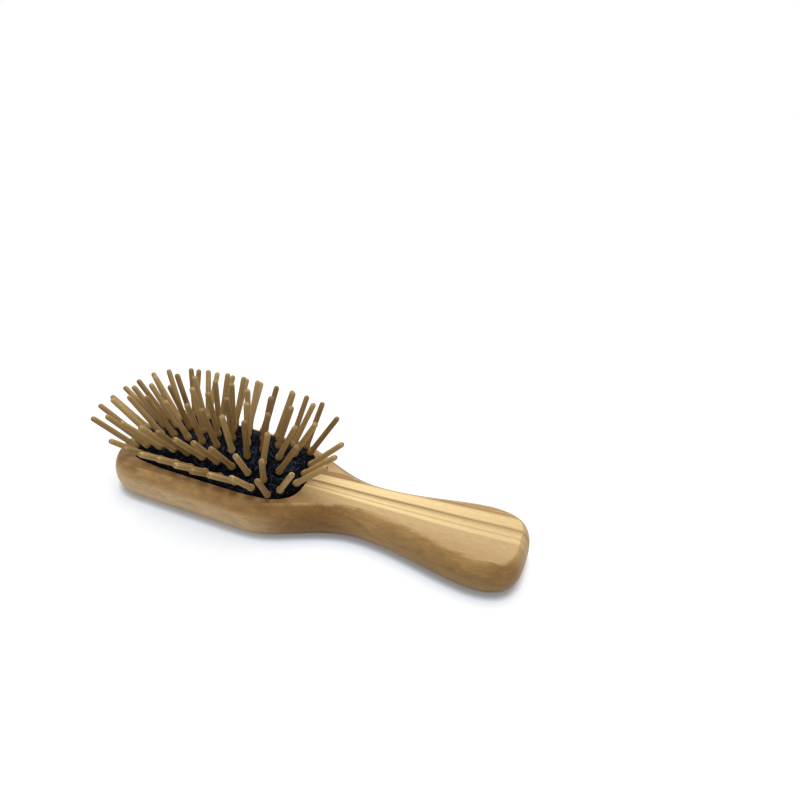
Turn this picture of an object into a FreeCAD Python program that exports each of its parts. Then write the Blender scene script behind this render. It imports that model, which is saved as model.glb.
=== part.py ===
"""Small pin brush for pets: a wooden body, a domed rubber cushion and turned wooden pins.

Millimetres. X runs along the brush, from the head at -X to the end of the handle at +X. Y runs
across it, and Z is up, the way the pins point. The origin is the middle of the flat back that the
brush lies on, halfway along its length.
"""
import FreeCAD, Part
import math
import os

from FreeCAD import Vector

# Body, as seen from above
body_length = 170.0
head_half_width = 23.4
waist_half_width = 10.9
handle_half_width = 17.0
shoulder_start_x = -19.0      # where the head begins to narrow
shoulder_end_x = 23.0         # where the waist is reached
handle_start_x = 27.0         # where the handle begins to widen
handle_full_x = 72.0          # where the handle is at its widest
head_end_depth = 20.5         # how much of the length the rounded head end takes
head_end_squareness = 3.3     # 2 is an ellipse, and more is squarer
handle_end_depth = 22.4
handle_end_squareness = 3.2

# Body, in thickness
body_thickness = 14.7
widest_level = 7.1            # height of the widest line of the side
back_round_head = 3.7         # how far the lower edge rounds in, at the head
back_round_handle = 4.8       # the same at the handle
crease_inset_middle = 4.7     # from the widest line in to the crease round the flat top
crease_inset_head = 1.8
crease_inset_handle = 3.2
crease_closing_power = 6      # a higher one keeps the change of inset nearer the ends
upper_round_reach = 1.65      # length of the upper ellipse, in crease insets

# Recess in the head, with a groove near its mouth for the lip of the cushion
recess_centre_x = -40.6
recess_half_length = 39.2
recess_half_width = 16.3
recess_squareness = 4.3
recess_depth = 8.5
groove_below_top = 1.8
groove_height = 1.4
groove_reach = 1.8

# Cushion: a domed rubber membrane
cushion_gap = 0.35            # all round, between the rubber and the wood
membrane = 1.6
dome_edge_above_top = 1.8
dome_rise = 8.6               # from the edge of the dome to its crown
dome_power_along = 2.7
dome_power_across = 2.8
dome_corner_fill = 0.74
dome_edge_round = 1.4
lip_end_gap = 0.3
lip_top_gap = 0.2

# Pins
pin_length = 20.3             # from the rubber to the tip
pin_foot_radius = 1.17
pin_end_radius = 1.1
collar_radius = 1.5
collar_height = 1.5
collar_shoulder = 0.7
tip_length = 0.6
tip_radius = 0.6
foot_gap = 0.05               # between a collar and the rubber below it

# How the pins stand: an outer ring, and staggered rows inside it
pin_pitch = 6.85
pattern_shift_x = -0.65       # of the pattern, from the middle of the recess
row_spacing = 5.55
ring_inset = 1.6              # from the edge of the recess in to the ring
ring_end_spacing = 5.8
ring_corner_room = 7.1        # from the end of the ring to its first side pin, at least
row_end_room = 4.6            # from the ring to the end pin of a row, at least
row_side_room = 2.5           # from the ring to the outermost row, at least
row_lean_along = 1.85         # slant of a pin in a row, in slopes of the dome below it
row_lean_across = 0.83
ring_side_lean_along = 1.6    # the same on the long sides of the ring
ring_side_lean_across = 0.77
ring_end_lean_along = 2.15    # the same at the two ends of the ring
ring_end_lean_across = 0.95
lean_middle_shift = 2.0       # of the upright pins, from the middle of the recess
scatter_degrees = 1.6         # how far a pin strays from the lean of its place
scatter_turn_degrees = 137.5  # from the direction in which one pin strays to that of the next

# Fineness, and room for the cutting blocks
end_steps = 6
side_steps = 12
round_steps = 5
recess_steps = 40
cushion_sides = 48
dome_steps = 10
hollow_steps = 5
edge_steps = 3
pin_sides = 10
cut_beyond = 1.0              # by which a cutting block stands out of the piece it cuts
slope_step = 0.01             # over which a slope of the dome is taken


def smooth_step(value, start, end):
    """0 before start, 1 after end, with a smooth rise between them."""
    share = min(max((value - start) / (end - start), 0.0), 1.0)
    return share * share * (3.0 - 2.0 * share)


def superellipse_reach(angle, squareness):
    """Radius of the unit superellipse in a direction."""
    total = abs(math.cos(angle)) ** squareness + abs(math.sin(angle)) ** squareness
    return total ** (-1.0 / squareness)


# Body

def plain_half_width(x):
    """Half-width of the body at its widest level, before the ends are rounded off."""
    head = (head_half_width - waist_half_width) * (1.0 - smooth_step(x, shoulder_start_x, shoulder_end_x))
    handle = (handle_half_width - waist_half_width) * smooth_step(x, handle_start_x, handle_full_x)
    return waist_half_width + head + handle


def end_points(end_x, depth, squareness):
    """Points (x, half-width) round one end, from its tip on the axis to where it is at full width."""
    points = []
    inwards = -math.copysign(1.0, end_x)
    for step in range(end_steps + 1):
        angle = math.pi / 2 * step / end_steps
        reach = superellipse_reach(angle, squareness)
        x = end_x + inwards * depth * (1.0 - reach * math.cos(angle))
        points.append((x, plain_half_width(x) * reach * math.sin(angle)))
    return points


def body_outline():
    """Points of the body's widest outline, anticlockwise from the tip of the handle."""
    handle = end_points(body_length / 2, handle_end_depth, handle_end_squareness)
    head = end_points(-body_length / 2, head_end_depth, head_end_squareness)
    side_start = handle[-1][0]
    side_end = head[-1][0]
    sides = []
    for step in range(1, side_steps):
        x = side_start + (side_end - side_start) * step / side_steps
        sides.append((x, plain_half_width(x)))
    far = handle + sides + head[::-1]
    near = [(x, -y) for x, y in far[-2:0:-1]]
    return [Vector(x, y, 0.0) for x, y in far + near]


def crease_inset(x):
    """Distance from the widest outline in to the crease, which closes in towards both ends."""
    end_inset = crease_inset_head if x < 0 else crease_inset_handle
    return crease_inset_middle - (crease_inset_middle - end_inset) * abs(2.0 * x / body_length) ** crease_closing_power


def closed_curve(points):
    """Smooth closed curve through points."""
    curve = Part.BSplineCurve()
    curve.interpolate(Points=points, PeriodicFlag=True)
    return curve


def moved_in(outline, insets, height):
    """Wire of the outline with each point moved in along its normal, at a height."""
    curve = closed_curve(outline)
    moved = []
    for point, inset in zip(outline, insets):
        tangent, = curve.tangent(curve.parameter(point))
        inwards = Vector(-tangent.y, tangent.x, 0.0)
        moved.append(point + inwards * inset + Vector(0.0, 0.0, height))
    return Part.Wire(closed_curve(moved).toShape())


def make_body():
    """The body, lofted through outlines from its back to its flat top, with the recess cut in."""
    outline = body_outline()
    levels = []
    for step in range(round_steps + 1):
        angle = math.pi / 2 * (step / round_steps - 1.0)
        insets = []
        for point in outline:
            towards_handle = smooth_step(point.x, shoulder_start_x, shoulder_end_x)
            back_round = back_round_head + (back_round_handle - back_round_head) * towards_handle
            insets.append(back_round * (1.0 - math.cos(angle)))
        levels.append(moved_in(outline, insets, widest_level * (1.0 + math.sin(angle))))
    crease_angle = math.acos(1.0 - 1.0 / upper_round_reach)
    rise = (body_thickness - widest_level) / math.sin(crease_angle)
    for step in range(1, round_steps + 1):
        angle = crease_angle * step / round_steps
        insets = []
        for point in outline:
            insets.append(crease_inset(point.x) * upper_round_reach * (1.0 - math.cos(angle)))
        levels.append(moved_in(outline, insets, widest_level + rise * math.sin(angle)))
    body = Part.makeLoft(levels, True, True)
    floor = body_thickness - recess_depth
    recess = oval_block(0.0, floor, body_thickness + cut_beyond)
    groove_top = body_thickness - groove_below_top
    groove = oval_block(groove_reach, groove_top - groove_height, groove_top)
    return body.cut(recess).cut(groove)


def oval_point(turn, beyond, share=1.0):
    """Point of the recess outline made that much larger all round, then drawn in to a share."""
    reach = superellipse_reach(turn, recess_squareness) * share
    x = recess_centre_x + (recess_half_length + beyond) * reach * math.cos(turn)
    y = (recess_half_width + beyond) * reach * math.sin(turn)
    return x, y


def oval_block(beyond, bottom, top):
    """Block with the outline of the recess, that much larger all round, between two heights.

    Its side is made of arcs, each through three points that follow each other.
    """
    points = []
    for step in range(recess_steps):
        x, y = oval_point(2.0 * math.pi * step / recess_steps, beyond)
        points.append(Vector(x, y, bottom))
    arcs = []
    for start in range(0, recess_steps, 2):
        arcs.append(Part.Arc(points[start], points[start + 1], points[(start + 2) % recess_steps]).toShape())
    return Part.Face(Part.Wire(arcs)).extrude(Vector(0.0, 0.0, top - bottom))


# Flat-sided solids

def flat_face(corners):
    return Part.Face(Part.makePolygon(corners + corners[:1]))


def solid_through(rings, split):
    """Solid with flat faces through rings of corners, from the first, at its lower end, to the last.

    Where the four corners between two rings don't lie in one plane, split gives two triangles.
    """
    faces = [flat_face(rings[0][::-1]), flat_face(rings[-1])]
    for lower, upper in zip(rings, rings[1:]):
        for side in range(len(lower)):
            follows = (side + 1) % len(lower)
            if split:
                faces.append(flat_face([lower[side], lower[follows], upper[follows]]))
                faces.append(flat_face([lower[side], upper[follows], upper[side]]))
            else:
                faces.append(flat_face([lower[side], lower[follows], upper[follows], upper[side]]))
    return Part.Solid(Part.Shell(faces))


# Cushion

def dome_height(x, y, inside=0.0):
    """Height of the dome's outer face, or of the face that lies further inside."""
    along = (abs(x - recess_centre_x) / (recess_half_length - inside)) ** dome_power_along
    across = (abs(y) / (recess_half_width - inside)) ** dome_power_across
    edge = body_thickness + dome_edge_above_top - inside
    return edge + dome_rise * (1.0 - along - across + dome_corner_fill * along * across)


def cushion_ring(beyond, share, height):
    """Corners round the cushion, on the recess outline changed as oval_point says."""
    corners = []
    for side in range(cushion_sides):
        x, y = oval_point(2.0 * math.pi * side / cushion_sides, beyond, share)
        corners.append(Vector(x, y, height(x, y)))
    return corners


def level(height):
    """A height that is the same everywhere."""
    return lambda x, y: height


def make_cushion():
    """The membrane: from the crown of its hollow down to the lip, then up over its outer face."""
    lip_bottom = body_thickness - groove_below_top - groove_height
    lip_top = lip_bottom + groove_height - lip_top_gap
    wall = -cushion_gap
    hollow_wall = wall - membrane
    rings = []
    for step in range(1, hollow_steps + 1):
        shape = level(dome_height(recess_centre_x, 0.0, membrane))
        if step > 1:
            shape = lambda x, y: dome_height(x, y, membrane)
        rings.append(cushion_ring(hollow_wall, step / hollow_steps, shape))
    rings.append(cushion_ring(hollow_wall, 1.0, level(lip_bottom)))
    rings.append(cushion_ring(groove_reach - lip_end_gap, 1.0, level(lip_bottom)))
    rings.append(cushion_ring(groove_reach - lip_end_gap, 1.0, level(lip_top)))
    rings.append(cushion_ring(wall, 1.0, level(lip_top)))
    for step in range(edge_steps):
        turn = math.pi / 2 * step / edge_steps
        inset = dome_edge_round * (1.0 - math.cos(turn))
        drop = dome_edge_round * (1.0 - math.sin(turn))
        rings.append(cushion_ring(wall - inset, 1.0, lambda x, y: dome_height(x, y) - drop))
    for step in range(dome_steps, 1, -1):
        rings.append(cushion_ring(wall - dome_edge_round, step / dome_steps, dome_height))
    crown = level(dome_height(recess_centre_x, 0.0))
    rings.append(cushion_ring(wall - dome_edge_round, 1.0 / dome_steps, crown))
    return solid_through(rings, True)


# Pins

def dome_slopes(x, y):
    """Slopes of the dome along X and across it, at a place."""
    along = dome_height(x + slope_step, y) - dome_height(x - slope_step, y)
    across = dome_height(x, y + slope_step) - dome_height(x, y - slope_step)
    return along / (2.0 * slope_step), across / (2.0 * slope_step)


def plain_pin():
    """A pin standing on the origin: collar, shoulder, tapering shaft and rounded tip.

    Its round faces are made of narrow flats, and its collar runs on below the foot, to be trimmed.
    """
    profile = [
        (collar_radius, -collar_radius - cut_beyond),
        (collar_radius, collar_height),
        (pin_foot_radius, collar_height + collar_shoulder),
        (pin_end_radius, pin_length - tip_length),
        (tip_radius, pin_length),
    ]
    rings = []
    for radius, height in profile:
        ring = []
        for side in range(pin_sides):
            angle = 2.0 * math.pi * side / pin_sides
            ring.append(Vector(radius * math.cos(angle), radius * math.sin(angle), height))
        rings.append(ring)
    return solid_through(rings, False)


def make_pin(x, y, lean_along, lean_across, number):
    """A pin that leans outwards with the dome, its collar trimmed to lie along the rubber."""
    upright = Vector(0.0, 0.0, 1.0)
    seat = Vector(x, y, dome_height(x, y))
    slope_along, slope_across = dome_slopes(x, y)
    outwards = Vector(-slope_along, -slope_across, 1.0).normalize()
    slant_along = dome_slopes(x - lean_middle_shift, y)[0]
    scatter = math.radians(scatter_degrees)
    scatter_turn = math.radians(scatter_turn_degrees) * number
    lean = Vector(
        -slant_along * lean_along + scatter * math.cos(scatter_turn),
        -slope_across * lean_across + scatter * math.sin(scatter_turn),
        1.0,
    )
    pin = plain_pin()
    pin.Placement = FreeCAD.Placement(seat, FreeCAD.Rotation(upright, lean))
    half = 2.0 * (collar_radius + cut_beyond)
    below = Part.makeBox(2.0 * half, 2.0 * half, half, Vector(-half, -half, foot_gap - half))
    below.Placement = FreeCAD.Placement(seat, FreeCAD.Rotation(upright, outwards))
    return pin.cut(below)


def places_along(offset, reach):
    """Places of the pattern along X within a reach of the middle of the recess."""
    middle = recess_centre_x + pattern_shift_x
    count = int(recess_half_length / pin_pitch) + 2
    places = []
    for step in range(-count, count + 1):
        x = middle + pin_pitch * (step + offset)
        if abs(x - recess_centre_x) <= reach:
            places.append(x)
    return places


def ring_half_length_at(y):
    """How far the ring reaches along X from the middle of the recess, at a place across it."""
    across = abs(y) / (recess_half_width - ring_inset)
    reach = (1.0 - across ** recess_squareness) ** (1.0 / recess_squareness)
    return (recess_half_length - ring_inset) * reach


def make_ring():
    """The outer ring of pins, near the edge of the rubber."""
    side_y = recess_half_width - ring_inset
    pins = []
    for x in places_along(0.5, recess_half_length - ring_inset - ring_corner_room):
        for y in (-side_y, side_y):
            pins.append(make_pin(x, y, ring_side_lean_along, ring_side_lean_across, len(pins)))
    steps = int((side_y - row_side_room) / ring_end_spacing)
    for step in range(-steps, steps + 1):
        y = step * ring_end_spacing
        for side in (-1.0, 1.0):
            x = recess_centre_x + side * ring_half_length_at(y)
            pins.append(make_pin(x, y, ring_end_lean_along, ring_end_lean_across, len(pins)))
    return pins


def make_row(number):
    """One row of pins along X, counted from the middle row, every other row set half a pitch on."""
    y = number * row_spacing
    offset = 0.5 * (number % 2)
    pins = []
    for x in places_along(offset, ring_half_length_at(y) - row_end_room):
        pins.append(make_pin(x, y, row_lean_along, row_lean_across, len(pins) + number))
    return pins


def save(shape, name):
    shape.exportStep("parts/" + name + ".step")


def main():
    os.makedirs("parts", exist_ok=True)
    save(make_body(), "brush_body")
    save(make_cushion(), "cushion")
    save(Part.makeCompound(make_ring()), "pins_outer_ring")
    rows_each_side = int((recess_half_width - ring_inset - row_side_room) / row_spacing)
    for number in range(-rows_each_side, rows_each_side + 1):
        name = "pins_row_" + str(number + rows_each_side + 1)
        save(Part.makeCompound(make_row(number)), name)


main()
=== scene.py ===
"""Small pin brush for pets, dressed over its CAD frame: oiled olive wood, black rubber, turned pins."""

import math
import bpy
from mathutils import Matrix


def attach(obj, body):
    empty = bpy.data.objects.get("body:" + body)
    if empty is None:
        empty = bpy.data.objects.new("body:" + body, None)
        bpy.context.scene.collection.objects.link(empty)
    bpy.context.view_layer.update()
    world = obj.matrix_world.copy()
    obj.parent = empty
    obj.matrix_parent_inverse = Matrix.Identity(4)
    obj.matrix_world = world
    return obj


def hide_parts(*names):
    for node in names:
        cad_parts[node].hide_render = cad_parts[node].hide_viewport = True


bl_info = {
    "name": "Pin brush",
    "version": (1, 0, 0),
    "blender": (4, 5, 0),
    "location": "View3D > Sidebar > Pin brush",
    "description": "Dresses the packed pin brush with its wood, rubber and pins, and sets its stage",
    "category": "Object",
}

import bmesh
import bpy
from mathutils import Matrix, Vector, noise

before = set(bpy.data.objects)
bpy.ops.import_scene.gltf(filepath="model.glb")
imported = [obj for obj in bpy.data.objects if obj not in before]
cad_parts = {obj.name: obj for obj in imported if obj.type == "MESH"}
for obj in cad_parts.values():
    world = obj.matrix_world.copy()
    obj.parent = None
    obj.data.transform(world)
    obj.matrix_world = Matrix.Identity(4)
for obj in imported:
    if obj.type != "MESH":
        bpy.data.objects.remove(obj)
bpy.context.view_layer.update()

MM = 0.001
PIN_NODES = sorted(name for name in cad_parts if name.startswith("pins_"))
NOISE_RANGE = {"From Min": 0.3, "From Max": 0.7}  # in which most values of a noise texture lie
WHITE = (1.0, 1.0, 1.0, 1.0)


# Helpers

def linear(hex_colour):
    """Linear RGBA of an sRGB hex colour."""
    channels = []
    for start in (1, 3, 5):
        value = int(hex_colour[start:start + 2], 16) / 255
        channels.append(value / 12.92 if value <= 0.04045 else ((value + 0.055) / 1.055) ** 2.4)
    return (*channels, 1.0)


def between(first, second, share):
    """Colour that lies the given share of the way from the first to the second."""
    return tuple(a + (b - a) * share for a, b in zip(first, second))


def add_node(tree, kind, links=None, values=None, **settings):
    """Adds a node with its settings, input values and links, and gives it back."""
    node = tree.nodes.new(kind)
    for name, value in settings.items():
        setattr(node, name, value)

    def socket(key):
        """Input by number, or the enabled input of that name."""
        if isinstance(key, int):
            return node.inputs[key]
        return next(i for i in node.inputs if i.name == key and i.enabled)

    for key, value in (values or {}).items():
        socket(key).default_value = value
    for key, source in (links or {}).items():
        tree.links.new(source, socket(key))
    return node


def result(node):
    """The one output that a node uses with its present settings."""
    return next(output for output in node.outputs if output.enabled)


def new_material(name):
    """An empty node material, its tree and its output node."""
    material = bpy.data.materials.new(name)
    material.use_nodes = True
    material.node_tree.nodes.clear()
    output = material.node_tree.nodes.new("ShaderNodeOutputMaterial")
    return material, material.node_tree, output


def set_ramp(node, stops):
    """Gives a colour ramp its stops, as pairs of place and linear colour."""
    ramp = node.color_ramp
    while len(ramp.elements) > 1:
        ramp.elements.remove(ramp.elements[-1])
    ramp.elements[0].position = stops[0][0]
    ramp.elements[0].color = stops[0][1]
    for place, colour in stops[1:]:
        ramp.elements.new(place).color = colour


def smooth_step(value, start, end):
    """0 before start, 1 after end, with a smooth rise between them."""
    share = min(max((value - start) / (end - start), 0.0), 1.0)
    return share * share * (3.0 - 2.0 * share)


def mesh_object(name, vertices, faces):
    """A smooth-shaded mesh object in the scene, from points in millimetres."""
    mesh = bpy.data.meshes.new(name)
    mesh.from_pydata([tuple(MM * c for c in v) for v in vertices], [], faces)
    mesh.validate()
    for polygon in mesh.polygons:
        polygon.use_smooth = True
    piece = bpy.data.objects.new(name, mesh)
    bpy.context.scene.collection.objects.link(piece)
    return piece


# Sizes and colours

def colour_setting(name, description, hex_colour):
    """A colour that a user can change, from its sRGB hex value."""
    return bpy.props.FloatVectorProperty(name=name, description=description, default=linear(hex_colour),
                                         subtype="COLOR", size=4, min=0.0, max=1.0)


class BodySettings(bpy.types.PropertyGroup):
    """Finish of the wooden body."""
    straw: colour_setting("Straw", "Palest stripes of the wood", "#ECCE94")
    umber: colour_setting("Umber", "Darkest stripes of the wood", "#885D2B")
    # The side colours are darker than the top partly by the wood's own figure and partly as painted shade
    head_side: colour_setting("Head side", "Upper part of the rounded side of the head", "#B88F59")
    low_head_pale: colour_setting("Pale low on head", "Paler wood low on the side of the head", "#D2B17F")
    neck_side: colour_setting("Neck side", "Rounded side by the neck", "#856030")
    waist_side: colour_setting("Waist side", "Rounded side of the waist", "#AB8552")
    handle_side: colour_setting("Handle side", "Rounded side of the handle", "#9E7A47")
    # Painted highlight: a pale line just below the crease of the flat top
    crease_highlight: colour_setting("Crease highlight", "Pale painted highlight just below the crease", "#C6A26B")
    roughness: bpy.props.FloatProperty(name="Roughness", description="Of the oiled wood",
                                       default=0.42, subtype="FACTOR", min=0.0, max=1.0)


class CushionSettings(bpy.types.PropertyGroup):
    """Shape and finish of the rubber cushion. Its main sizes are those of the CAD model."""
    black: colour_setting("Black", "Colour of the rubber", "#030408")
    # Painted highlights: pale specks on the tops of the rubber's fine bumps
    speck_glint: colour_setting("Speck glint", "Colour of the fine pale specks on it", "#434B5C")
    speck_size: bpy.props.FloatProperty(name="Speck size", description="Width of a speck",
                                        default=0.6 * MM, unit="LENGTH")
    pin_dimple: bpy.props.FloatProperty(name="Pin dimple", description="Depth of the rubber round a pin",
                                        default=1.0 * MM, unit="LENGTH")
    pebbles: bpy.props.FloatProperty(name="Pebbles", description="Height of the unevenness of the rubber",
                                     default=0.17 * MM, unit="LENGTH")
    edge_round: bpy.props.FloatProperty(name="Edge round", description="Radius of the rolled edge",
                                        default=1.4 * MM, unit="LENGTH")


class PinSettings(bpy.types.PropertyGroup):
    """Finish of the turned pins."""
    pale: colour_setting("Pale", "Palest pin", "#C0A069")
    tan: colour_setting("Tan", "Darkest pin", "#7C5B2D")
    pith: colour_setting("Pith", "Dot of end grain at a tip", "#775733")
    sides: bpy.props.IntProperty(name="Sides", description="Points round a pin", default=20, min=8)


class StageSettings(bpy.types.PropertyGroup):
    """Light and camera."""
    room_level: bpy.props.FloatProperty(name="Room light", description="Level of the soft light all round",
                                        default=0.62, min=0.0)
    softbox_power: bpy.props.FloatProperty(name="Softbox power", description="Of the lamp overhead",
                                           default=8.0, unit="POWER")
    softbox_width: bpy.props.FloatProperty(name="Softbox width", description="Of the lamp overhead",
                                           default=0.9, unit="LENGTH")
    focal_length: bpy.props.FloatProperty(name="Focal length", description="Of the camera, in millimetres",
                                          default=26.83)
    camera_azimuth: bpy.props.FloatProperty(name="Camera azimuth", description="Round the brush, from -Y",
                                            default=math.radians(21.618), subtype="ANGLE")
    camera_elevation: bpy.props.FloatProperty(name="Camera elevation", description="Above the horizon",
                                              default=math.radians(35.215), subtype="ANGLE")
    camera_roll: bpy.props.FloatProperty(name="Camera roll", description="Lean of the picture",
                                         default=math.radians(-0.507), subtype="ANGLE")
    camera_place: bpy.props.FloatVectorProperty(name="Camera place", description="Where the camera stands",
                                                default=(0.0945, -0.14615, 0.17388), unit="LENGTH")


# Wood of the body

# Stripes across the flat of the handle, from its near side to its far one: place in millimetres at the
# neck, and how dark the stripe is, from straw to umber
STRIPES = [
    (-12.0, 0.8), (-8.0, 0.64), (-5.5, 0.54), (-4.0, 0.52), (-3.6, 0.6), (-3.3, 0.3), (-2.6, 0.0),
    (-1.9, 0.1), (-1.4, 0.5), (-1.0, 0.12), (-0.3, 0.06), (0.6, 0.5), (1.1, 0.66), (1.5, 1.0), (1.9, 0.5),
    (2.4, 0.04), (5.3, 0.0), (5.8, 0.55), (6.5, 1.0), (7.1, 0.62), (7.7, 0.95), (8.6, 0.62), (9.6, 0.5),
    (12.0, 0.66),
]
STRIPES_REACH = 12.0

# Millimetres along the brush
HEAD_TIP = -95.0
NECK = 17.0
HANDLE_TIP = 85.0

RINGS_SKEW = -0.04          # by which the growth rings run askew, for each millimetre along the brush
END_SHARE = 0.42            # how much a face that looks along the brush counts as one of the sides, which darkens the handle's end, partly as painted shade
CREASE_BEND = 24.0          # degrees, over which an edge of the body stays sharp
BODY_WELD = 0.002 * MM      # within which two corners of the body are one


def grain_scale(along, across):
    """Scale of a pattern whose marks are that many millimetres long and wide, along the grain."""
    return (1.0 / along, 1.0 / across, 1.0 / across)


def flat_top(tree, look, in_mm, x, y):
    """Colour of the flat top: growth rings on edge, a little darker towards the end of the handle."""
    # The rings run a little askew along the handle and open out towards its end
    past_neck = add_node(tree, "ShaderNodeMath", {0: x}, {1: NECK}, operation="SUBTRACT").outputs[0]
    straight = add_node(tree, "ShaderNodeMath", {0: past_neck, 2: y}, {1: RINGS_SKEW},
                        operation="MULTIPLY_ADD").outputs[0]
    spread = add_node(tree, "ShaderNodeMapRange", {"Value": past_neck},
                      {"From Min": -80.0, "From Max": 80.0, "To Min": 0.63, "To Max": 1.37}).outputs[0]
    ring_place = add_node(tree, "ShaderNodeMath", {0: straight, 1: spread}, operation="DIVIDE").outputs[0]
    # Their waver: 60 mm long waves, about a millimetre high
    long_waves = add_node(tree, "ShaderNodeMapping", {"Vector": in_mm}, {"Scale": grain_scale(60.0, 14.0)})
    waver = add_node(tree, "ShaderNodeTexNoise", {"Vector": long_waves.outputs[0]},
                     {"Scale": 1.0, "Detail": 1.0})
    wavered = add_node(tree, "ShaderNodeMapRange", {"Value": waver.outputs["Fac"]},
                       {"To Min": -1.0, "To Max": 1.0})
    ring_place = add_node(tree, "ShaderNodeMath", {0: ring_place, 1: wavered.outputs[0]}).outputs[0]
    across = add_node(tree, "ShaderNodeMapRange", {"Value": ring_place},
                      {"From Min": -STRIPES_REACH, "From Max": STRIPES_REACH})
    striped = add_node(tree, "ShaderNodeValToRGB", {"Fac": across.outputs[0]})
    set_ramp(striped, [((at + STRIPES_REACH) / (2 * STRIPES_REACH), between(look.straw, look.umber, dark))
                       for at, dark in STRIPES])
    # Late wood lines, about 0.6 mm apart
    fine_lines = add_node(tree, "ShaderNodeTexNoise", {"W": ring_place},
                          {"Scale": 1.7, "Detail": 3.0, "Roughness": 0.65}, noise_dimensions="1D")
    lined = add_node(tree, "ShaderNodeMapRange", {"Value": fine_lines.outputs["Fac"]},
                     {**NOISE_RANGE, "To Min": 0.9, "To Max": 1.06})
    top = add_node(tree, "ShaderNodeMix", {"A": striped.outputs[0], "B": lined.outputs[0]},
                   {"Factor": 1.0}, data_type="RGBA", blend_type="MULTIPLY")
    towards_end = add_node(tree, "ShaderNodeMapRange", {"Value": x},
                           {"From Min": 32.0, "From Max": 75.0, "To Min": 0.0, "To Max": 0.42})
    return result(add_node(tree, "ShaderNodeMix", {"Factor": towards_end.outputs[0], "A": result(top)},
                           {"B": between(look.straw, look.umber, 0.6)}, data_type="RGBA"))


def rounded_side(tree, look, x, z, clouds):
    """Colour of the rounded side: clouds over a tone that changes along the brush, darker than the top
    partly by the wood's own figure and partly as painted shade, and a paler colour low on the head."""
    along = add_node(tree, "ShaderNodeMapRange", {"Value": x},
                     {"From Min": HEAD_TIP, "From Max": HANDLE_TIP})
    side = add_node(tree, "ShaderNodeValToRGB", {"Fac": along.outputs[0]})
    set_ramp(side, [(0.07, between(look.head_side, look.low_head_pale, 0.5)), (0.2, look.head_side),
                    (0.3, look.head_side), (0.46, between(look.head_side, look.neck_side, 0.45)),
                    (0.55, look.neck_side), (0.6, look.neck_side), (0.69, look.waist_side),
                    (0.84, look.handle_side), (0.93, look.handle_side),
                    (0.99, between(look.handle_side, look.umber, 0.6))])
    clouded = add_node(tree, "ShaderNodeMapRange", {"Value": clouds},
                       {**NOISE_RANGE, "To Min": 0.74, "To Max": 1.22})
    # The paler colour ends at a wavering line about 11 mm up
    waved_height = add_node(tree, "ShaderNodeMath", {0: clouds, 2: z}, {1: 5.0}, operation="MULTIPLY_ADD")
    below_line = add_node(tree, "ShaderNodeMapRange", {"Value": waved_height.outputs[0]},
                          {"From Min": 14.6, "From Max": 11.8}, interpolation_type="SMOOTHSTEP")
    on_head = add_node(tree, "ShaderNodeMapRange", {"Value": x}, {"From Min": -3.0, "From Max": -20.0})
    low_pale_share = add_node(tree, "ShaderNodeMath", {0: below_line.outputs[0], 1: on_head.outputs[0]},
                         operation="MULTIPLY")
    side = add_node(tree, "ShaderNodeMix", {"Factor": low_pale_share.outputs[0], "A": side.outputs[0]},
                    {"B": look.low_head_pale}, data_type="RGBA")
    return result(add_node(tree, "ShaderNodeMix", {"A": result(side), "B": clouded.outputs[0]},
                           {"Factor": 1.0}, data_type="RGBA", blend_type="MULTIPLY"))


def spots_and_crease_highlight(tree, look, wood, in_mm, x, z, clouds, steepness):
    """The wood's colour with darker brown spots by the recess and a pale painted highlight just below the
    crease.
    """
    # Darker brown spots about 5 mm wide round the recess, on the upper side of the head
    spot_place = add_node(tree, "ShaderNodeMapping", {"Vector": in_mm}, {"Scale": grain_scale(6.0, 4.0)})
    spots = add_node(tree, "ShaderNodeTexNoise", {"Vector": spot_place.outputs[0]},
                     {"Scale": 1.0, "Detail": 2.0})
    spotted = add_node(tree, "ShaderNodeMapRange", {"Value": spots.outputs["Fac"]},
                       {"From Min": 0.38, "From Max": 0.62})
    near_top = add_node(tree, "ShaderNodeMapRange", {"Value": z}, {"From Min": 11.0, "From Max": 14.2})
    by_recess = add_node(tree, "ShaderNodeMapRange", {"Value": x},
                         {"From Min": 4.0, "From Max": -8.0, "To Min": 0.0, "To Max": 0.75})
    # A pale painted highlight just below the crease, about half a millimetre high, broken up along its
    # length
    at_crease = add_node(tree, "ShaderNodeMapRange", {"Value": z}, {"From Min": 13.9, "From Max": 14.5})
    below_flat = add_node(tree, "ShaderNodeMapRange", {"Value": steepness},
                          {"From Min": 0.05, "From Max": 0.3})
    patches = add_node(tree, "ShaderNodeMapRange", {"Value": clouds},
                       {"From Min": 0.3, "From Max": 0.55, "To Min": 0.0, "To Max": 0.85})
    past_head = add_node(tree, "ShaderNodeMapRange", {"Value": x}, {"From Min": -12.0, "From Max": 0.0})
    spot_colour = between(look.neck_side, look.umber, 0.3)
    for first, others, colour in ((spotted, (near_top, by_recess), spot_colour),
                                  (at_crease, (below_flat, patches, past_head), look.crease_highlight)):
        share = first.outputs[0]
        for other in others:
            share = add_node(tree, "ShaderNodeMath", {0: share, 1: other.outputs[0]},
                             operation="MULTIPLY").outputs[0]
        wood = result(add_node(tree, "ShaderNodeMix", {"Factor": share, "A": wood}, {"B": colour},
                               data_type="RGBA"))
    return wood


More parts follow.
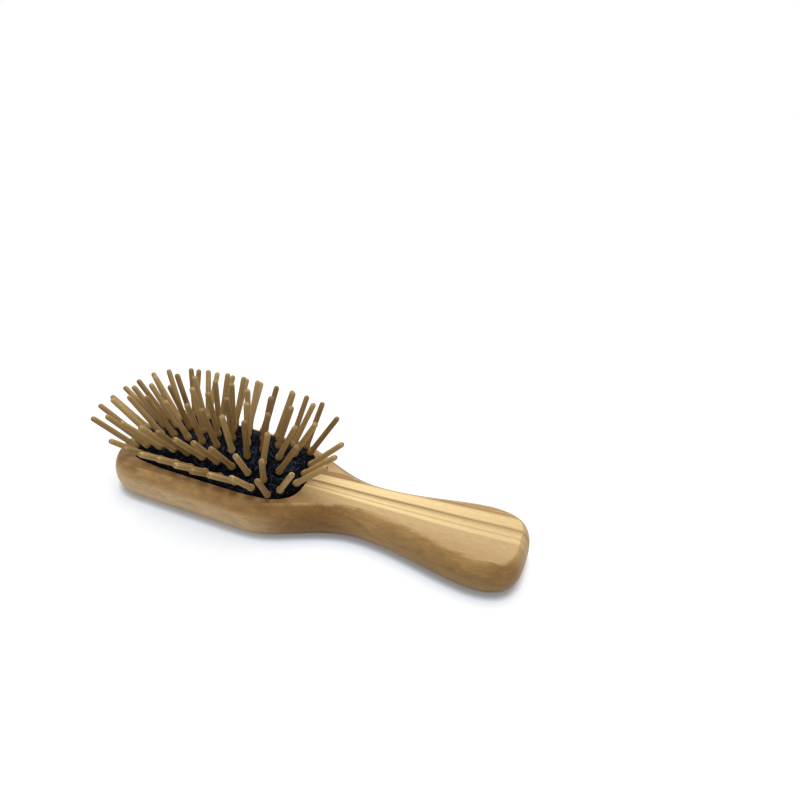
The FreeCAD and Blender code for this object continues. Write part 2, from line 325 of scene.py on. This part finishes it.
def oiled_olive_wood():
    """Olive wood, sawn to outline, sanded and oiled: straight pale and brown stripes where a face lies
    across the growth rings, soft clouds and fine fibres where it runs along them, sides darker partly as
    painted shade, and a satin sheen."""
    look = bpy.context.scene.brush_body
    material, tree, output = new_material("olive_wood_oiled")
    place = add_node(tree, "ShaderNodeTexCoord")
    in_mm = add_node(tree, "ShaderNodeMapping", {"Vector": place.outputs["Object"]},
                     {"Scale": (1.0 / MM, 1.0 / MM, 1.0 / MM)}).outputs[0]
    x, y, z = add_node(tree, "ShaderNodeSeparateXYZ", {0: in_mm}).outputs
    # Clouds about 9 mm long and 2.6 mm high
    cloud_place = add_node(tree, "ShaderNodeMapping", {"Vector": in_mm}, {"Scale": grain_scale(9.0, 2.6)})
    clouds = add_node(tree, "ShaderNodeTexNoise", {"Vector": cloud_place.outputs[0]},
                      {"Scale": 1.0, "Detail": 5.0, "Roughness": 0.68, "Distortion": 0.5}).outputs["Fac"]
    # How far a face is turned to the side. Such faces take the darker side colours, partly the wood's own
    # figure and partly painted shade
    sideways = add_node(tree, "ShaderNodeMapping", {"Vector": place.outputs["Normal"]},
                        {"Scale": (END_SHARE, 1.0, 0.0)}).outputs[0]
    steepness = add_node(tree, "ShaderNodeVectorMath", {0: sideways}, operation="LENGTH").outputs["Value"]
    turned_away = add_node(tree, "ShaderNodeMapRange", {"Value": steepness},
                           {"From Min": 0.12, "From Max": 0.6}, interpolation_type="SMOOTHSTEP")
    wood = result(add_node(tree, "ShaderNodeMix", {"Factor": turned_away.outputs[0],
                                                   "A": flat_top(tree, look, in_mm, x, y),
                                                   "B": rounded_side(tree, look, x, z, clouds)},
                           data_type="RGBA"))
    wood = spots_and_crease_highlight(tree, look, wood, in_mm, x, z, clouds, steepness)

    # Fibres and pores: fine dashes about 3 mm long and 0.3 mm wide
    dashes = add_node(tree, "ShaderNodeMapping", {"Vector": in_mm}, {"Scale": grain_scale(3.0, 0.3)})
    pores = add_node(tree, "ShaderNodeTexNoise", {"Vector": dashes.outputs[0]},
                     {"Scale": 1.0, "Detail": 2.0})
    shade = add_node(tree, "ShaderNodeMapRange", {"Value": pores.outputs["Fac"]},
                     {**NOISE_RANGE, "To Min": 0.87, "To Max": 1.09})
    wood = result(add_node(tree, "ShaderNodeMix", {"A": wood, "B": shade.outputs[0]}, {"Factor": 1.0},
                           data_type="RGBA", blend_type="MULTIPLY"))
    bump = add_node(tree, "ShaderNodeBump", {"Height": pores.outputs["Fac"]},
                    {"Strength": 0.15, "Distance": 0.05 * MM})
    # The oil lies unevenly, so the sheen changes with the clouds
    sheen = add_node(tree, "ShaderNodeMapRange", {"Value": clouds},
                     {**NOISE_RANGE, "To Min": look.roughness - 0.07, "To Max": look.roughness + 0.07})
    shader = add_node(tree, "ShaderNodeBsdfPrincipled",
                      {"Base Color": wood, "Normal": bump.outputs[0], "Roughness": sheen.outputs[0]},
                      {"IOR": 1.5, "Specular IOR Level": 0.25})
    tree.links.new(shader.outputs[0], output.inputs[0])
    return material


def sanded_smooth():
    """Node group that shades the rounded sides of the body as one smooth face and keeps its crease and
    the edges of the recess sharp. It changes no place on the surface."""
    group = bpy.data.node_groups.new("sanded_smooth", "GeometryNodeTree")
    group.interface.new_socket("Geometry", in_out="INPUT", socket_type="NodeSocketGeometry")
    group.interface.new_socket("Geometry", in_out="OUTPUT", socket_type="NodeSocketGeometry")
    body = add_node(group, "NodeGroupInput").outputs[0]
    for name in ("custom_normal", "sharp_edge", "sharp_face"):
        body = add_node(group, "GeometryNodeRemoveAttribute", {"Geometry": body},
                        {"Name": name}).outputs[0]
    body = add_node(group, "GeometryNodeMergeByDistance", {"Geometry": body},
                    {"Distance": BODY_WELD}).outputs[0]
    body = add_node(group, "GeometryNodeSetShadeSmooth", {"Geometry": body}, {"Shade Smooth": True},
                    domain="FACE").outputs[0]
    bend = add_node(group, "GeometryNodeInputMeshEdgeAngle").outputs["Unsigned Angle"]
    sharp = add_node(group, "FunctionNodeCompare", {"A": bend}, {"B": math.radians(CREASE_BEND)},
                     data_type="FLOAT", operation="GREATER_THAN").outputs[0]
    body = add_node(group, "GeometryNodeSetShadeSmooth", {"Geometry": body, "Selection": sharp},
                    {"Shade Smooth": False}, domain="EDGE").outputs[0]
    add_node(group, "NodeGroupOutput", {0: body})
    return group


# Rubber cushion

# Sizes in millimetres, as in the CAD model
RECESS_X = -40.6
RECESS_HALF_LENGTH = 39.2
RECESS_HALF_WIDTH = 16.3
RECESS_SQUARENESS = 4.3
BODY_TOP = 14.7
CUSHION_GAP = 0.35
DOME_EDGE_ABOVE_TOP = 1.8
DOME_RISE = 8.6
DOME_POWER_ALONG = 2.7
DOME_POWER_ACROSS = 2.8
DOME_CORNER_FILL = 0.74
MEMBRANE = 1.6
LIP_BOTTOM = 11.5
LIP_TOP = 12.7
LIP_REACH = 1.5

# Sizes in millimetres that only the scene has
PEBBLE_WIDTH = 1.3
DIMPLE_FLAT = 1.2           # from the middle of a pin to where the rubber begins to rise
DIMPLE_REACH = 3.2          # and to where it is at its full height
EDGE_DROP = 0.2             # by which the rolled edge begins below the dome
PATCH_WIDTH = 12.5          # of the patches in which the specks lie
EDGE_CURVE = 0.8            # share of the edge round that is curved
CROWN_SHARE = 0.02          # size of the innermost ring of corners, as a share of the outline

CUSHION_SIDES = 240
DOME_RINGS = 44
EDGE_RINGS = 6
HOLLOW_RINGS = 10


def moulded_black_rubber():
    """Natural rubber, moulded in a matt mould: near black, a little blue, with fine pale specks on the
    tops of its fine bumps, painted highlights drawn half as coarse again as they are so that they show."""
    look = bpy.context.scene.brush_cushion
    material, tree, output = new_material("natural_rubber_moulded")
    place = add_node(tree, "ShaderNodeTexCoord").outputs["Object"]
    specks = add_node(tree, "ShaderNodeTexNoise", {"Vector": place},
                      {"Scale": 1.0 / (1.5 * look.speck_size), "Detail": 3.0, "Roughness": 0.65})
    # They lie in patches
    patches = add_node(tree, "ShaderNodeTexNoise", {"Vector": place},
                       {"Scale": 1.0 / (PATCH_WIDTH * MM), "Detail": 1.0})
    thinned = add_node(tree, "ShaderNodeMapRange", {"Value": patches.outputs["Fac"]},
                       {"From Min": 0.35, "From Max": 0.65, "To Min": -0.08, "To Max": 0.03})
    glint_specks = add_node(tree, "ShaderNodeMath", {0: specks.outputs["Fac"], 1: thinned.outputs[0]})
    colour = add_node(tree, "ShaderNodeValToRGB", {"Fac": glint_specks.outputs[0]})
    set_ramp(colour, [(0.5, look.black), (0.58, between(look.black, look.speck_glint, 0.35)),
                      (0.7, look.speck_glint)])
    bump = add_node(tree, "ShaderNodeBump", {"Height": specks.outputs["Fac"]},
                    {"Strength": 0.7, "Distance": 0.25 * MM})
    dull = add_node(tree, "ShaderNodeMapRange", {"Value": specks.outputs["Fac"]},
                    {**NOISE_RANGE, "To Min": 0.5, "To Max": 0.75})
    shader = add_node(tree, "ShaderNodeBsdfPrincipled",
                      {"Base Color": colour.outputs["Color"], "Normal": bump.outputs[0],
                       "Roughness": dull.outputs[0]},
                      {"IOR": 1.52, "Specular IOR Level": 0.03})
    tree.links.new(shader.outputs[0], output.inputs[0])
    return material


def dome_height(x, y, inside=0.0):
    """Height of the dome's outer face, or of the face that lies further inside."""
    along = (abs(x - RECESS_X) / (RECESS_HALF_LENGTH - inside)) ** DOME_POWER_ALONG
    across = (abs(y) / (RECESS_HALF_WIDTH - inside)) ** DOME_POWER_ACROSS
    rise = DOME_RISE * (1.0 - along - across + DOME_CORNER_FILL * along * across)
    return BODY_TOP + DOME_EDGE_ABOVE_TOP - inside + rise


def cushion_outline():
    """Points round the outline of the recess, as shares of its half length and half width."""
    points = []
    for step in range(CUSHION_SIDES):
        angle = 2.0 * math.pi * step / CUSHION_SIDES
        along = math.cos(angle)
        across = math.sin(angle)
        power = RECESS_SQUARENESS
        reach = (abs(along) ** power + abs(across) ** power) ** (-1.0 / power)
        points.append((reach * along, reach * across))
    return points


def moulded_cushion():
    """The membrane with its rolled edge, side wall, lip and inner face, dimpled round each pin."""
    look = bpy.context.scene.brush_cushion
    roll = look.edge_round / MM
    dimple = look.pin_dimple / MM
    pebble = look.pebbles / MM
    feet = [tip - direction * PIN_LENGTH for name in PIN_NODES for tip, direction in pin_lines(name)]
    outline = cushion_outline()
    vertices = []

    def add_ring(beyond, share, height):
        """One ring of points. Beyond is how far it stands out of the wall, and share shrinks it."""
        for along, across in outline:
            x = RECESS_X + (RECESS_HALF_LENGTH - CUSHION_GAP + beyond) * along * share
            y = (RECESS_HALF_WIDTH - CUSHION_GAP + beyond) * across * share
            vertices.append(Vector((x, y, height(x, y))))

    def dimpled(x, y):
        """Height of the dome, lower round each pin and a little uneven all over."""
        nearest = min(math.hypot(x - foot.x, y - foot.y) for foot in feet)
        uneven = pebble * noise.noise(Vector((x, y, 0.0)) / PEBBLE_WIDTH)
        sunk = dimple * (1.0 - smooth_step(nearest, DIMPLE_FLAT, DIMPLE_REACH))
        return dome_height(x, y) + uneven - sunk

    # Out over the dome, to where its edge begins to roll over
    for step in range(DOME_RINGS):
        share = CROWN_SHARE + (1.0 - CROWN_SHARE) * step / (DOME_RINGS - 1)
        add_ring(-roll * min(1.0, 2.0 * share), share, dimpled)
    # Round the edge, down the wall, round the lip and back up to the crown of the hollow
    curve = EDGE_CURVE * roll
    for step in range(1, EDGE_RINGS + 1):
        turn = math.pi / 2 * step / EDGE_RINGS
        fall = EDGE_DROP + curve * (1.0 - math.cos(turn))
        add_ring(-curve * (1.0 - math.sin(turn)), 1.0, lambda x, y: dome_height(x, y) - fall)
    for beyond, level in ((0.0, BODY_TOP), (0.0, LIP_TOP), (LIP_REACH, LIP_TOP), (LIP_REACH, LIP_BOTTOM),
                          (-MEMBRANE, LIP_BOTTOM)):
        add_ring(beyond, 1.0, lambda x, y: level)
    for step in range(HOLLOW_RINGS, -1, -1):
        share = CROWN_SHARE + (1.0 - CROWN_SHARE) * step / HOLLOW_RINGS
        add_ring(-MEMBRANE, share, lambda x, y: dome_height(x, y, MEMBRANE))

    faces = []
    for ring in range(len(vertices) // CUSHION_SIDES - 1):
        for step in range(CUSHION_SIDES):
            follows = (step + 1) % CUSHION_SIDES
            corner = ring * CUSHION_SIDES
            faces.append((corner + step, corner + CUSHION_SIDES + step, corner + CUSHION_SIDES + follows,
                          corner + follows))
    faces.append(tuple(range(CUSHION_SIDES)))
    faces.append(tuple(reversed(range(len(vertices) - CUSHION_SIDES, len(vertices)))))
    return mesh_object("rubber_cushion", vertices, faces)


# Pins

PIN_RING = 10               # corners of each ring of a CAD pin
PIN_LENGTH = 20.3           # millimetres from the rubber to the tip
PIN_MEAN_RADIUS = 1.15
PIN_WELD = 0.001 * MM       # within which two corners of a CAD pin are one
STREAK_SHIFT_AROUND = 9.0   # millimetres between the streaks of one pin and those of the next
STREAK_SHIFT_ALONG = 31.0
# Tone of a pin, from tan at 0 to pale at 1. It swings about a middle, from pin to pin and across the brush
TONE_MIDDLE = 0.48
TONE_SWING = 0.32
TONE_TURN = 2.4             # radians from one pin to the next
TONE_TURN_ACROSS = 0.7      # radians for each millimetre across the brush
# Profile of a pin in millimetres: distance from the tip, radius, and share of end grain
PIN_PROFILE = [
    (0.0, 0.0, 1.0), (0.02, 0.26, 0.9), (0.08, 0.46, 0.4), (0.22, 0.7, 0.1), (0.45, 0.9, 0.0),
    (0.75, 1.02, 0.0), (1.1, 1.07, 0.0), (2.0, 1.08, 0.0), (5.5, 1.095, 0.0), (9.0, 1.105, 0.0),
    (14.0, 1.13, 0.0), (17.6, 1.15, 0.0), (18.1, 1.17, 0.0), (18.5, 1.22, 0.0), (18.9, 1.31, 0.0),
    (19.3, 1.39, 0.0), (19.8, 1.42, 0.0), (20.4, 1.4, 0.0), (20.9, 1.3, 0.0), (21.4, 1.05, 0.0),
    (22.0, 0.6, 0.0),
]


def turned_light_wood():
    """Light hardwood, turned thin and waxed: each pin has its own tone, with fine streaks along it and
    a small darker dot of end grain at its tip."""
    look = bpy.context.scene.brush_pins
    material, tree, output = new_material("light_wood_turned")
    tone = add_node(tree, "ShaderNodeAttribute", attribute_name="pin_tone").outputs["Fac"]
    around_along = add_node(tree, "ShaderNodeUVMap", uv_map="around_along").outputs[0]
    # Streaks about 0.4 mm wide and 7 mm long
    stretch = add_node(tree, "ShaderNodeMapping", {"Vector": around_along},
                       {"Scale": (1 / (0.4 * MM), 1 / (7.0 * MM), 1.0)})
    streaks = add_node(tree, "ShaderNodeTexNoise", {"Vector": stretch.outputs[0]},
                       {"Scale": 1.0, "Detail": 2.0})
    streaked = add_node(tree, "ShaderNodeMapRange", {"Value": streaks.outputs["Fac"]},
                        {**NOISE_RANGE, "To Min": -0.2, "To Max": 0.2})
    share = add_node(tree, "ShaderNodeMath", {0: tone, 1: streaked.outputs[0]}, use_clamp=True)
    wood = add_node(tree, "ShaderNodeMix", {"Factor": share.outputs[0]},
                    {"A": look.tan, "B": look.pale}, data_type="RGBA")
    dot = add_node(tree, "ShaderNodeAttribute", attribute_name="end_grain").outputs["Fac"]
    wood = add_node(tree, "ShaderNodeMix", {"Factor": dot, "A": result(wood)}, {"B": look.pith},
                    data_type="RGBA")
    bump = add_node(tree, "ShaderNodeBump", {"Height": streaks.outputs["Fac"]},
                    {"Strength": 0.15, "Distance": 0.05 * MM})
    waxed = add_node(tree, "ShaderNodeMapRange", {"Value": streaks.outputs["Fac"]},
                     {**NOISE_RANGE, "To Min": 0.45, "To Max": 0.58})
    shader = add_node(tree, "ShaderNodeBsdfPrincipled",
                      {"Base Color": result(wood), "Normal": bump.outputs[0],
                       "Roughness": waxed.outputs[0]},
                      {"IOR": 1.5, "Specular IOR Level": 0.3})
    tree.links.new(shader.outputs[0], output.inputs[0])
    return material


def solids_of(node_name):
    """The separate solids of a CAD node, each as a list of its corners in millimetres."""
    cad = bmesh.new()
    cad.from_mesh(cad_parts[node_name].data)
    bmesh.ops.remove_doubles(cad, verts=cad.verts, dist=PIN_WELD)
    cad.verts.index_update()
    seen = set()
    solids = []
    for start in cad.verts:
        if start.index in seen:
            continue
        seen.add(start.index)
        reached = [start]
        for vertex in reached:
            for edge in vertex.link_edges:
                other = edge.other_vert(vertex)
                if other.index not in seen:
                    seen.add(other.index)
                    reached.append(other)
        solids.append([vertex.co / MM for vertex in reached])
    cad.free()
    return solids


def pin_line(corners):
    """Tip and direction of a pin, from the rings of corners at its tip and at the foot of its shaft."""
    lowest = min(corners, key=lambda corner: corner.z)
    furthest = max(corners, key=lambda corner: (corner - lowest).length)
    rough = (furthest - lowest).normalized()
    from_tip = sorted(corners, key=lambda corner: -corner.dot(rough))
    tip = sum(from_tip[:PIN_RING], Vector()) / PIN_RING
    shaft_foot = sum(from_tip[2 * PIN_RING:3 * PIN_RING], Vector()) / PIN_RING
    return tip, (tip - shaft_foot).normalized()


def pin_lines(node_name):
    """Tips and directions of the pins of one CAD node, in a fixed order."""
    lines = [pin_line(corners) for corners in solids_of(node_name)]
    return sorted(lines, key=lambda line: (round(line[0].x, 2), round(line[0].y, 2)))


def turned_pins(node_name):
    """The pins of one CAD node as one mesh, turned round, with rounded tips and beads at the foot."""
    sides = bpy.context.scene.brush_pins.sides
    vertices = []
    faces = []
    uvs = []
    tones = []
    dots = []
    for number, (tip, direction) in enumerate(pin_lines(node_name)):
        turn = direction.to_track_quat("Z", "Y").to_matrix()
        tone = TONE_MIDDLE + TONE_SWING * math.sin(TONE_TURN * number + TONE_TURN_ACROSS * tip.y)
        first = len(vertices)
        for depth, radius, dot in PIN_PROFILE:
            for side in range(sides + 1):
                angle = 2.0 * math.pi * side / sides
                offset = Vector((radius * math.cos(angle), radius * math.sin(angle), -depth))
                vertices.append(tip + turn @ offset)
                uvs.append((MM * (PIN_MEAN_RADIUS * angle + STREAK_SHIFT_AROUND * number),
                            MM * (depth + STREAK_SHIFT_ALONG * number)))
                tones.append(tone)
                dots.append(dot)
        for ring in range(len(PIN_PROFILE) - 1):
            for side in range(sides):
                corner = first + ring * (sides + 1) + side
                faces.append((corner, corner + sides + 1, corner + sides + 2, corner + 1))
    piece = mesh_object(node_name + "_turned", vertices, faces)
    mesh = piece.data
    layer = mesh.uv_layers.new(name="around_along")
    for loop in mesh.loops:
        layer.data[loop.index].uv = uvs[loop.vertex_index]
    mesh.attributes.new("pin_tone", "FLOAT", "POINT").data.foreach_set("value", tones)
    mesh.attributes.new("end_grain", "FLOAT", "POINT").data.foreach_set("value", dots)
    return piece


# Stage

FLOOR_REACH = 3000.0        # millimetres from the middle to an edge of the floor
SHADOW_REACH = 0.11         # metres from the middle to where the floor begins to fade into white
WHITE_FROM = 0.22           # and to where it is all white
CONTACT_REACH = 3.2 * MM    # of the painted contact shadow, a dark line where the brush touches the floor
# Linear colours of the floor by the brush, lit and glowing, and of the room's light
FLOOR_LIT = (0.68, 0.58, 0.46, 1.0)
FLOOR_GLOW = (0.36, 0.46, 0.58, 1.0)
ROOM_LIGHT = (0.94, 0.97, 1.0, 1.0)
LAMP_PLACE = (0.02, 0.3, 0.95)
LAMP_DEPTH = 0.8            # share of its width
SENSOR_WIDTH = 36.0         # of the camera, in millimetres
NEAREST_SEEN = 0.01         # metres from the camera


def white_sweep():
    """Matt white paper. Close to the brush it is nearly white and keeps the soft shadow, with a painted
    blue tint and a painted dark line where the brush touches it, and further out it fades into the white
    of the background."""
    material, tree, output = new_material("white_sweep")
    path = add_node(tree, "ShaderNodeLightPath")
    paper = add_node(tree, "ShaderNodeBsdfDiffuse", None, {"Color": linear("#C8CACC")})
    # A warm paper and a blue glow, which together look white in the light and blue in the shadow
    lit = add_node(tree, "ShaderNodeBsdfDiffuse", None, {"Color": FLOOR_LIT})
    # Painted contact shadow: the glow dims close to the brush, most where it touches the floor
    openness = add_node(tree, "ShaderNodeAmbientOcclusion", None,
                        {"Distance": CONTACT_REACH}).outputs["AO"]
    strength = add_node(tree, "ShaderNodeMapRange", {"Value": openness},
                        {"From Min": 0.5, "From Max": 1.0, "To Min": 0.24, "To Max": 1.0})
    glow = add_node(tree, "ShaderNodeEmission", {"Strength": strength.outputs[0]}, {"Color": FLOOR_GLOW})
    kept = add_node(tree, "ShaderNodeAddShader", {0: lit.outputs[0], 1: glow.outputs[0]})
    white = add_node(tree, "ShaderNodeEmission", None, {"Color": WHITE, "Strength": 1.0})
    place = add_node(tree, "ShaderNodeTexCoord").outputs["Object"]
    away = add_node(tree, "ShaderNodeVectorMath", {0: place}, operation="LENGTH").outputs["Value"]
    fade = add_node(tree, "ShaderNodeMapRange", {"Value": away},
                    {"From Min": SHADOW_REACH, "From Max": WHITE_FROM}, interpolation_type="SMOOTHSTEP")
    seen = add_node(tree, "ShaderNodeMixShader", {0: fade.outputs[0], 1: kept.outputs[0],
                                                  2: white.outputs[0]})
    either = add_node(tree, "ShaderNodeMath", {0: path.outputs["Is Camera Ray"],
                                               1: path.outputs["Is Glossy Ray"]}, operation="MAXIMUM")
    final = add_node(tree, "ShaderNodeMixShader", {0: either.outputs[0], 1: paper.outputs[0],
                                                   2: seen.outputs[0]})
    tree.links.new(final.outputs[0], output.inputs[0])
    return material


def soft_room(level):
    """World: even, slightly cool light all round, and white to the camera and in reflections."""
    world = bpy.data.worlds.new("soft_room")
    world.use_nodes = True
    tree = world.node_tree
    tree.nodes.clear()
    path = add_node(tree, "ShaderNodeLightPath")
    room = add_node(tree, "ShaderNodeBackground", None, {"Color": ROOM_LIGHT, "Strength": level})
    white = add_node(tree, "ShaderNodeBackground", None, {"Color": WHITE, "Strength": 1.0})
    either = add_node(tree, "ShaderNodeMath", {0: path.outputs["Is Camera Ray"],
                                               1: path.outputs["Is Glossy Ray"]}, operation="MAXIMUM")
    mixed = add_node(tree, "ShaderNodeMixShader", {0: either.outputs[0], 1: room.outputs[0],
                                                   2: white.outputs[0]})
    add_node(tree, "ShaderNodeOutputWorld", {0: mixed.outputs[0]})
    return world


def camera_matrix(look):
    """Place and turn of the camera from its azimuth, elevation and roll."""
    azimuth = look.camera_azimuth
    elevation = look.camera_elevation
    back = Vector((math.sin(azimuth) * math.cos(elevation), -math.cos(azimuth) * math.cos(elevation),
                   math.sin(elevation)))
    level = Vector((0.0, 0.0, 1.0)).cross(back).normalized()
    down = level.cross(back).normalized()
    right = math.cos(look.camera_roll) * level + math.sin(look.camera_roll) * down
    up = back.cross(right)
    return Matrix.Translation(look.camera_place) @ Matrix((right, up, back)).transposed().to_4x4()


# Operators

class BRUSH_OT_body(bpy.types.Operator):
    """Gives the body its oiled olive wood"""
    bl_idname = "brush.body"
    bl_label = "Body"

    def execute(self, context):
        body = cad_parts["brush_body"]
        body.data.materials.clear()
        body.data.materials.append(oiled_olive_wood())
        body.modifiers.new("sanded_smooth", "NODES").node_group = sanded_smooth()
        return {"FINISHED"}


class BRUSH_OT_cushion(bpy.types.Operator):
    """Adds the moulded rubber cushion"""
    bl_idname = "brush.cushion"
    bl_label = "Cushion"

    def execute(self, context):
        piece = moulded_cushion()
        piece.data.materials.append(moulded_black_rubber())
        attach(piece, "root")
        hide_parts("cushion")
        return {"FINISHED"}


class BRUSH_OT_pins(bpy.types.Operator):
    """Adds the turned wooden pins"""
    bl_idname = "brush.pins"
    bl_label = "Pins"

    def execute(self, context):
        wood = turned_light_wood()
        for node_name in PIN_NODES:
            piece = turned_pins(node_name)
            piece.data.materials.append(wood)
            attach(piece, "root")
            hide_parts(node_name)
        return {"FINISHED"}


class BRUSH_OT_stage(bpy.types.Operator):
    """Adds the floor, the lamp, the world and the camera"""
    bl_idname = "brush.stage"
    bl_label = "Stage"

    def execute(self, context):
        look = context.scene.brush_stage
        corners = [(FLOOR_REACH * x, FLOOR_REACH * y, 0.0)
                   for x, y in ((-1, -1), (1, -1), (1, 1), (-1, 1))]
        floor = mesh_object("floor", corners, [(0, 1, 2, 3)])
        floor.data.materials.append(white_sweep())
        context.scene.world = soft_room(look.room_level)
        lamp = bpy.data.lights.new("overhead_softbox", "AREA")
        lamp.shape = "RECTANGLE"
        lamp.size = look.softbox_width
        lamp.size_y = LAMP_DEPTH * look.softbox_width
        lamp.energy = look.softbox_power
        overhead = bpy.data.objects.new("overhead_softbox", lamp)
        overhead.location = LAMP_PLACE
        overhead.rotation_euler = (-overhead.location).to_track_quat("-Z", "Y").to_euler()
        context.scene.collection.objects.link(overhead)
        lens = bpy.data.cameras.new("camera")
        lens.sensor_width = SENSOR_WIDTH
        lens.lens = look.focal_length
        lens.clip_start = NEAREST_SEEN
        camera = bpy.data.objects.new("camera", lens)
        camera.matrix_world = camera_matrix(look)
        context.scene.collection.objects.link(camera)
        context.scene.camera = camera
        context.scene.view_settings.view_transform = "Standard"
        return {"FINISHED"}


class BRUSH_PT_panel(bpy.types.Panel):
    """The pieces of the brush, in order"""
    bl_idname = "BRUSH_PT_panel"
    bl_label = "Pin brush"
    bl_space_type = "VIEW_3D"
    bl_region_type = "UI"
    bl_category = "Pin brush"

    def draw(self, context):
        for step in STEPS:
            self.layout.operator(step.bl_idname)


SETTINGS = {"brush_body": BodySettings, "brush_cushion": CushionSettings, "brush_pins": PinSettings,
            "brush_stage": StageSettings}
STEPS = [BRUSH_OT_body, BRUSH_OT_cushion, BRUSH_OT_pins, BRUSH_OT_stage]


def register():
    """Registers the classes and gives each scene the settings."""
    for cls in [*SETTINGS.values(), *STEPS, BRUSH_PT_panel]:
        bpy.utils.register_class(cls)
    for name, cls in SETTINGS.items():
        setattr(bpy.types.Scene, name, bpy.props.PointerProperty(type=cls))


def unregister():
    """Takes back what register did."""
    for name in SETTINGS:
        delattr(bpy.types.Scene, name)
    for cls in [BRUSH_PT_panel, *STEPS, *SETTINGS.values()]:
        bpy.utils.unregister_class(cls)


def main():
    """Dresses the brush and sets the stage."""
    register()
    bpy.ops.brush.body()
    bpy.ops.brush.cushion()
    bpy.ops.brush.pins()
    bpy.ops.brush.stage()


if __name__ == "__main__":
    main()
